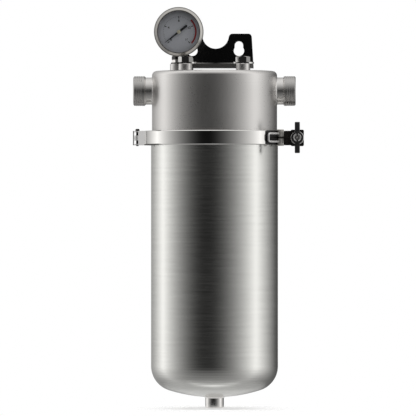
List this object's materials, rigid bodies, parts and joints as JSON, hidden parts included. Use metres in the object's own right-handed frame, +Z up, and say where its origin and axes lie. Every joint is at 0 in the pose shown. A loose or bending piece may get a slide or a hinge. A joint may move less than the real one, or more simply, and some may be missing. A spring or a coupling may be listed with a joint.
{
  "type": "water pre-filter housing",
  "caption": "Upright round steel water filter housing with two side ports, a hinged band clamp, a dial pressure gauge on top and a wall bracket.",
  "frame": {"origin": "centre of the drain nipple's lower end, on the vessel's axis", "axes": "+Z up the vessel, +Y to the wall behind it, +X to the right seen from the front"},
  "size_m": [0.1915, 0.161, 0.4485],
  "materials": {
    "bowl_steel": "brushed round the vessel",
    "head_steel": "satin, fine turned",
    "polished_steel": "polished",
    "plain_steel": "machined",
    "dark_steel": "blackened",
    "black_coat": "black, semi-gloss",
    "black_plastic": "moulded black",
    "pointer_black": "black",
    "dial_face": "cool pale grey with a scale",
    "clear_glass": "clear",
    "brass": "plain",
    "black_rubber": "matt",
    "cap_plastic": "moulded",
    "core_plastic": "moulded",
    "filter_mesh": "fine pleated mesh"
  },
  "bodies": {
    "housing": {"bowl_shell": "bowl_steel", "bowl_flange": "bowl_steel", "drain_nipple": "head_steel", "head_shell": "head_steel", "head_flange": "head_steel", "inlet_port": "head_steel", "outlet_port": "head_steel", "outlet_crossover": "head_steel", "outlet_standpipe": "head_steel", "gauge_boss": "head_steel", "vent_boss_left": "head_steel", "vent_boss_right": "head_steel", "bracket_boss_left": "head_steel", "bracket_boss_right": "head_steel", "vent_plug_left": "plain_steel", "vent_plug_right": "plain_steel", "vent_seal_left": "black_rubber", "vent_seal_right": "black_rubber", "wall_bracket": "black_coat", "bracket_washer_left": "plain_steel", "bracket_washer_right": "plain_steel", "bracket_bolt_left": "plain_steel", "bracket_bolt_right": "plain_steel", "body_gasket": "black_rubber", "clamp_rear_band": "polished_steel", "rear_lug": "dark_steel", "hinge_leaf_rear": "plain_steel", "hinge_pin": "dark_steel", "gauge_case": "head_steel", "gauge_bezel": "polished_steel", "gauge_window": "clear_glass", "gauge_dial": "dial_face", "gauge_stem": "dark_steel", "gauge_seal": "black_rubber", "bourdon_tube": "brass", "gauge_movement": "brass", "gauge_link": "plain_steel", "element_pleats": "filter_mesh", "element_core": "core_plastic", "element_top_cap": "cap_plastic", "element_bottom_cap": "cap_plastic", "element_top_gasket": "black_rubber", "element_bottom_gasket": "black_rubber", "spring_plate": "plain_steel", "element_spring": "plain_steel"},
    "band_half": {"clamp_front_band": "polished_steel", "front_lug": "dark_steel", "hinge_leaf_front": "plain_steel", "catch_plate": "dark_steel", "catch_loop": "polished_steel", "catch_barrel": "plain_steel"},
    "washer": {"screw_washer": "dark_steel"},
    "handle": {"screw_handle": "black_plastic", "handle_insert": "polished_steel", "clamp_screw": "plain_steel"},
    "pointer": {"gauge_pointer": "pointer_black", "pointer_hub": "brass"}
  },
  "joints": [
    {"name": "band_hinge", "type": "hinge", "parent": "housing", "child": "band_half", "pos_m": [-0.0863, 0, 0.3023], "axis": [0, 0, -1], "range_deg": [0, 80]},
    {"name": "screw_travel", "type": "slide", "parent": "band_half", "child": "washer", "axis": [0, -1, 0], "range_m": [0, 0.009]},
    {"name": "handle_turn", "type": "hinge", "parent": "washer", "child": "handle", "pos_m": [0.0927, 0, 0.3023], "axis": [0, -1, 0], "range_deg": [0, 2520]},
    {"name": "pointer_swing", "type": "hinge", "parent": "housing", "child": "pointer", "pos_m": [-0.0398, 0, 0.4209], "axis": [0, 1, 0], "range_deg": [-7, 263], "stiffness_Nm_per_rad": 0.00002}
  ],
  "couplings": [
    {"joint": "screw_travel", "follows": "handle_turn", "m_per_rad": 0.00019894}
  ]
}
